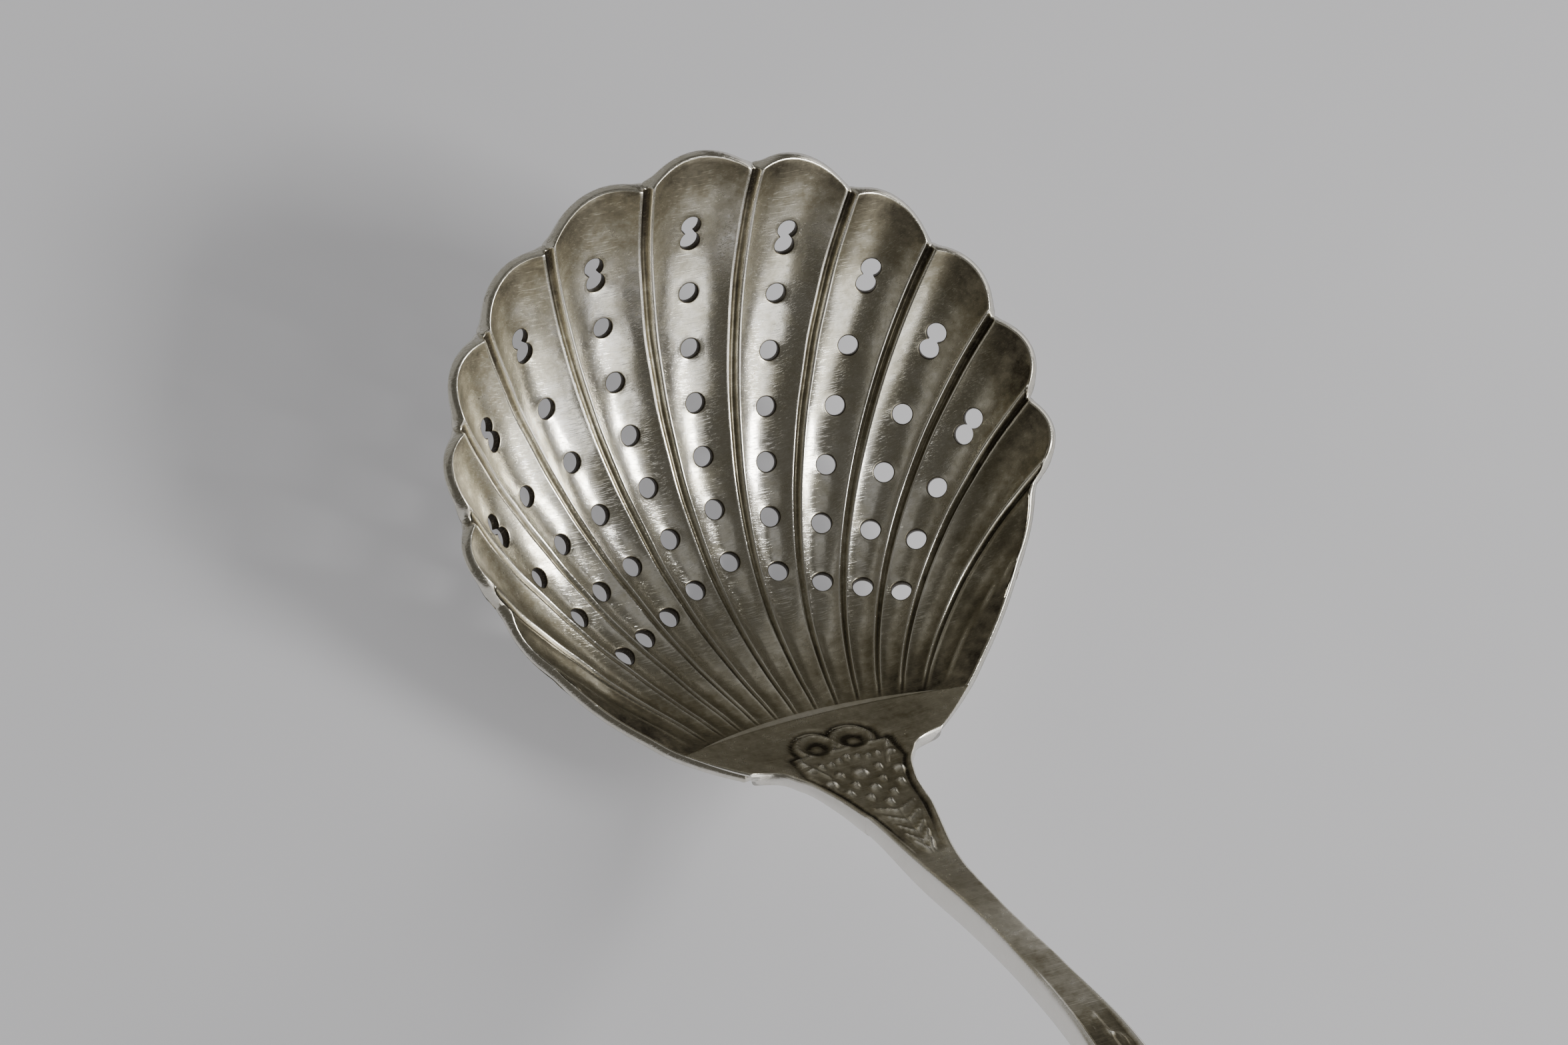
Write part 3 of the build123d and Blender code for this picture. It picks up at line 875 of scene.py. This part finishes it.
def build_handle():
    sections = []
    for half, normal, thick, top in (plate_points(), shoulder_points(), stem_points()):
        across, depth = ring_of(half, thick)
        share = across / half[:, None]
        points = top(share) - normal[:, None, :] * depth[..., None]
        normals = np.broadcast_to(normal[:, None, :], points.shape)
        halves = np.broadcast_to(half[:, None], across.shape)
        sections.append((points, normals, across, depth, halves))
    points, normals, across, depth, halves = (np.concatenate(parts) for parts in zip(*sections))
    middle = points[:, TOP_CELLS // 2]
    step = np.linalg.norm(np.diff(middle, axis=0), axis=1)
    along = np.concatenate([[0], np.cumsum(step)])[:, None] + 0 * across
    relief, ground = handle_relief(across, along, halves)
    top_share = np.clip(1 - depth / TOP_SKIN, 0, 1)
    inset = halves - np.abs(across)
    edge_share = smooth_step(inset / EDGE_FADE)
    crown = CROWN * halves * (1 - (across / halves) ** 2)
    crown = crown * smooth_step((along - CROWN_START) / CROWN_FADE)
    points = points + normals * ((relief * edge_share + crown) * top_share)[..., None]
    rows, places = across.shape
    faces = []
    for j in range(rows - 1):
        for i in range(places):
            n = (i + 1) % places
            faces.append((j * places + i, (j + 1) * places + i, (j + 1) * places + n, j * places + n))
    for row, facing in ((0, 1), (rows - 1, -1)):
        over, under = end_pairs(row * places, places)
        for a, b, c, d in zip(over, over[1:], under[1:], under):
            faces.append((a, b, c, d)[::facing])
    hollow = np.clip((-relief - GROUND_DEPTH) / LINE_DEPTH, 0, 1)
    tarnish = top_share * (TOP_FILM + GROUND_MORE * ground + HOLLOW_MORE * hollow)
    tarnish = tarnish + SIDE_FILM * (1 - top_share)
    wear = top_share * np.clip(relief / WEAR_HEIGHT, 0, 1)
    wear = wear + np.exp(-((inset / WEAR_EDGE) ** 2)) * (1 - top_share)
    floats = {"tarnish": tarnish.ravel(), "wear": np.clip(wear, 0, 1).ravel()}
    return make_mesh("struck_handle", points.reshape(-1, 3), faces, floats)


# ---------------- materials

class Nodes:
    """Short way to add and join shader nodes."""

    def __init__(self, name):
        self.material = bpy.data.materials.new(name)
        self.material.use_nodes = True
        self.tree = self.material.node_tree
        self.shader = self.tree.nodes["Principled BSDF"]

    def put(self, target, value):
        if isinstance(value, bpy.types.NodeSocket):
            self.tree.links.new(value, target)
        else:
            target.default_value = value

    def add(self, kind, output=0, settings=(), **inputs):
        node = self.tree.nodes.new(kind)
        for key, value in dict(settings).items():
            setattr(node, key, value)
        for key, value in inputs.items():
            slot = int(key[3:]) if key.startswith("in_") else key.replace("_", " ")
            self.put(node.inputs[slot], value)
        return node.outputs[output]

    def math(self, operation, a, b, clamp=False):
        settings = {"operation": operation, "use_clamp": clamp}
        return self.add("ShaderNodeMath", 0, settings, in_0=a, in_1=b)

    def plus(self, a, b, clamp=False):
        return self.math("ADD", a, b, clamp)

    def minus(self, a, b, clamp=False):
        return self.math("SUBTRACT", a, b, clamp)

    def times(self, a, b, clamp=False):
        return self.math("MULTIPLY", a, b, clamp)

    def noise(self, cycles, detail=2.0, rough=0.5, turn=(0, 0, 0)):
        """Noise with so many cycles per mm along x, y and z of the piece."""
        here = self.add("ShaderNodeTexCoord", 3)
        scale = [c / MM for c in cycles]
        place = self.add("ShaderNodeMapping", 0, Vector=here, Scale=scale, Rotation=turn)
        return self.add("ShaderNodeTexNoise", 0, Vector=place, Scale=1.0, Detail=detail, Roughness=rough)

    def ramp(self, value, stops):
        node = self.tree.nodes.new("ShaderNodeValToRGB")
        ramp = node.color_ramp
        while len(ramp.elements) < len(stops):
            ramp.elements.new(0.5)
        for element, (at, colour) in zip(ramp.elements, stops):
            element.position = at
            element.color = (*colour, 1)
        self.put(node.inputs[0], value)
        return node.outputs[0]

    def shade(self, **inputs):
        """Sets or joins inputs of the surface shader."""
        for key, value in inputs.items():
            self.put(self.shader.inputs[key.replace("_", " ")], value)


SILVER_STOPS = [
    (0.0, (0.84, 0.82, 0.77)),
    (0.3, (0.60, 0.57, 0.48)),
    (0.6, (0.31, 0.28, 0.205)),
    (1.0, (0.05, 0.042, 0.032)),
]
# material slot: tarnish all over, and roughness where clean
FINISH = {"bowl_silver": (0.16, 0.17), "handle_silver": (0.18, 0.20), "silver_solder": (0.25, 0.35)}
# cycles per mm of each kind of unevenness
CLOUDS, SPECKS, DENTS, GRAIN = (0.16,) * 3, (0.9,) * 3, (0.32,) * 3, (7.0,) * 3
CLOUD_DETAIL, SPECK_DETAIL, STAIN_ROUGH = 5.0, 4.0, 0.65
CLOUD_FILM, SPECK_FILM = 0.9, 0.6  # how much clouds and specks change the tarnish
WEAR_FILM, SCRATCH_FILM = 0.85, 0.22  # how much of it wear and scratches take off
FILM_ROUGH, SPECK_ROUGH = 0.26, 0.10
DENT_HEIGHT, SPECK_HEIGHT, SCRATCH_DEPTH, GRAIN_HEIGHT = 0.055, 0.010, 0.009, 0.0012  # in mm
SCRATCH_CYCLES = (0.25, 11.0, 4.0)  # drawn out along x, before they are turned
SCRATCH_LEAN = (0.2, 0.1)
SCRATCH_TURNS = (0.3, 1.2, 2.3)
SCRATCH_LEVEL, SCRATCH_GAIN = 0.60, 5.0  # only the noise above this level shows as a scratch


def scratches(nodes):
    """Fine hairlines in a few directions, each from noise drawn out along one of them."""
    total = 0.0
    for turn in SCRATCH_TURNS:
        lines = nodes.noise(SCRATCH_CYCLES, turn=(*SCRATCH_LEAN, turn))
        lines = nodes.times(nodes.minus(lines, SCRATCH_LEVEL, True), SCRATCH_GAIN, True)
        total = nodes.math("MAXIMUM", total, lines)
    return total


def silver(name):
    """Old silver: bright and smooth where it is rubbed, olive to brown and duller where it isn't."""
    film_base, gloss = FINISH[name]
    nodes = Nodes(name)
    tarnish = nodes.add("ShaderNodeAttribute", 2, {"attribute_name": "tarnish"})
    wear = nodes.add("ShaderNodeAttribute", 2, {"attribute_name": "wear"})
    clouds = nodes.noise(CLOUDS, CLOUD_DETAIL, STAIN_ROUGH)
    specks = nodes.noise(SPECKS, SPECK_DETAIL, STAIN_ROUGH)
    lines = scratches(nodes)
    off_specks = nodes.minus(specks, 0.5)
    uneven = nodes.times(nodes.minus(clouds, 0.5), CLOUD_FILM)
    uneven = nodes.plus(uneven, nodes.times(off_specks, SPECK_FILM))
    film = nodes.plus(nodes.plus(tarnish, film_base), uneven, True)
    film = nodes.times(film, nodes.minus(1.0, nodes.times(wear, WEAR_FILM)), True)
    colour = nodes.ramp(nodes.minus(film, nodes.times(lines, SCRATCH_FILM), True), SILVER_STOPS)
    rough = nodes.plus(nodes.times(film, FILM_ROUGH), gloss)
    rough = nodes.plus(rough, nodes.times(off_specks, SPECK_ROUGH), True)
    height = nodes.times(nodes.noise(DENTS), DENT_HEIGHT)
    height = nodes.plus(height, nodes.times(specks, SPECK_HEIGHT))
    height = nodes.minus(height, nodes.times(lines, SCRATCH_DEPTH))
    height = nodes.plus(height, nodes.times(nodes.noise(GRAIN), GRAIN_HEIGHT))
    bump = nodes.add("ShaderNodeBump", 0, Strength=1.0, Distance=MM, Height=height)
    nodes.shade(Base_Color=colour, Metallic=1.0, Roughness=rough, Normal=bump)
    return nodes.material


def floor_material():
    """Plain pale matt floor with a very faint unevenness, and a painted glow of its own that lightens it
    and the shadows on it.
    """
    nodes = Nodes("pale_floor")
    colour = nodes.ramp(nodes.noise(FLOOR_CLOUDS, FLOOR_DETAIL), FLOOR_STOPS)
    nodes.shade(Base_Color=colour, Roughness=FLOOR_ROUGH)
    # painted light: the floor glows though it is no lamp, which lightens the floor and its shadows
    nodes.shade(Emission_Color=(*PAINTED_FLOOR_GLOW, 1), Emission_Strength=1.0)
    return nodes.material


# ---------------- stage, light and camera, in metres

FLOOR_STOPS = [(0.3, (0.56, 0.56, 0.59)), (0.7, (0.60, 0.60, 0.63))]
FLOOR_CLOUDS, FLOOR_DETAIL, FLOOR_ROUGH = (0.02,) * 3, 3.0, 0.85
FLOOR_SIZE = 4.0
PAINTED_FLOOR_GLOW = (0.222, 0.222, 0.233)  # painted light: the floor glows of itself, standing for the bounced light of a wide room, and so lifts the shadows on it
SKY = (0.095, 0.090, 0.076)
LIGHTS_AIM_Z = 0.01
# name, place, size, power in watts, colour
LIGHTS = [
    ("window_wide", (0.74, -0.38, 0.52), (1.25, 0.85), 1.5, (1.0, 0.99, 0.96)),
    ("window_core", (0.71, -0.36, 0.56), (0.34, 0.30), 6.4, (1.0, 0.99, 0.96)),
    ("window_front", (0.40, -0.80, 0.34), (1.0, 0.6), 3.2, (1.0, 0.99, 0.96)),
    ("window_low", (0.90, 0.42, 0.20), (0.6, 0.4), 1.0, (1.0, 0.98, 0.94)),
    ("ceiling", (0.10, 0.05, 1.20), (0.8, 0.8), 0.4, (1.0, 1.0, 1.0)),
    ("fill_back", (-0.15, 0.95, 0.42), (1.4, 0.8), 0.75, (1.0, 0.99, 0.95)),
    ("fill_left", (-0.95, 0.20, 0.28), (1.2, 0.5), 0.5, (1.0, 0.99, 0.95)),
]
CAMERA_AT = (-0.14586, -0.06412, 0.33786)
CAMERA_FORWARD = (0.38936, 0.33528, -0.85790)
CAMERA_RIGHT = (0.89795, -0.34561, 0.27247)
CAMERA_LENS = 91.84
CAMERA_SENSOR = 36.0
CAMERA_NEAR = 0.01


def build_floor():
    mesh = bpy.data.meshes.new("floor")
    half = FLOOR_SIZE / 2
    corners = [(-half, -half, 0), (half, -half, 0), (half, half, 0), (-half, half, 0)]
    mesh.from_pydata(corners, [], [(0, 1, 2, 3)])
    mesh.materials.append(floor_material())
    floor = add_object("floor", mesh)


def build_world():
    world = bpy.data.worlds.new("studio")
    world.use_nodes = True
    world.node_tree.nodes["Background"].inputs["Color"].default_value = (*SKY, 1)
    bpy.context.scene.world = world


def build_lights():
    aim = Vector((0, BOWL_Y * MM, LIGHTS_AIM_Z))
    for name, place, size, power, colour in LIGHTS:
        data = bpy.data.lights.new(name, "AREA")
        data.shape = "RECTANGLE"
        data.size, data.size_y = size
        data.energy = power
        data.color = colour
        lamp = add_object(name, data)
        lamp.location = place
        lamp.rotation_euler = (aim - Vector(place)).to_track_quat("-Z", "Y").to_euler()


def build_camera():
    right, forward = Vector(CAMERA_RIGHT).normalized(), Vector(CAMERA_FORWARD).normalized()
    up = right.cross(forward)
    data = bpy.data.cameras.new("photo_view")
    data.lens, data.sensor_width = CAMERA_LENS, CAMERA_SENSOR
    data.clip_start = CAMERA_NEAR
    camera = add_object("photo_view", data)
    turn = Matrix((right, up, -forward)).transposed().to_4x4()
    camera.matrix_world = Matrix.Translation(CAMERA_AT) @ turn
    bpy.context.scene.camera = camera


bowl = build_bowl()
handle = build_handle()
for piece, node, slot in ((bowl, "bowl", "bowl_silver"), (handle, "handle", "handle_silver")):
    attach(piece, "root")
    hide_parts(node)
    piece.data.materials.append(silver(slot))
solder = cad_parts["solder_seam"]
solder.data.materials.clear()
solder.data.materials.append(silver("silver_solder"))

build_floor()
build_world()
build_lights()
build_camera()
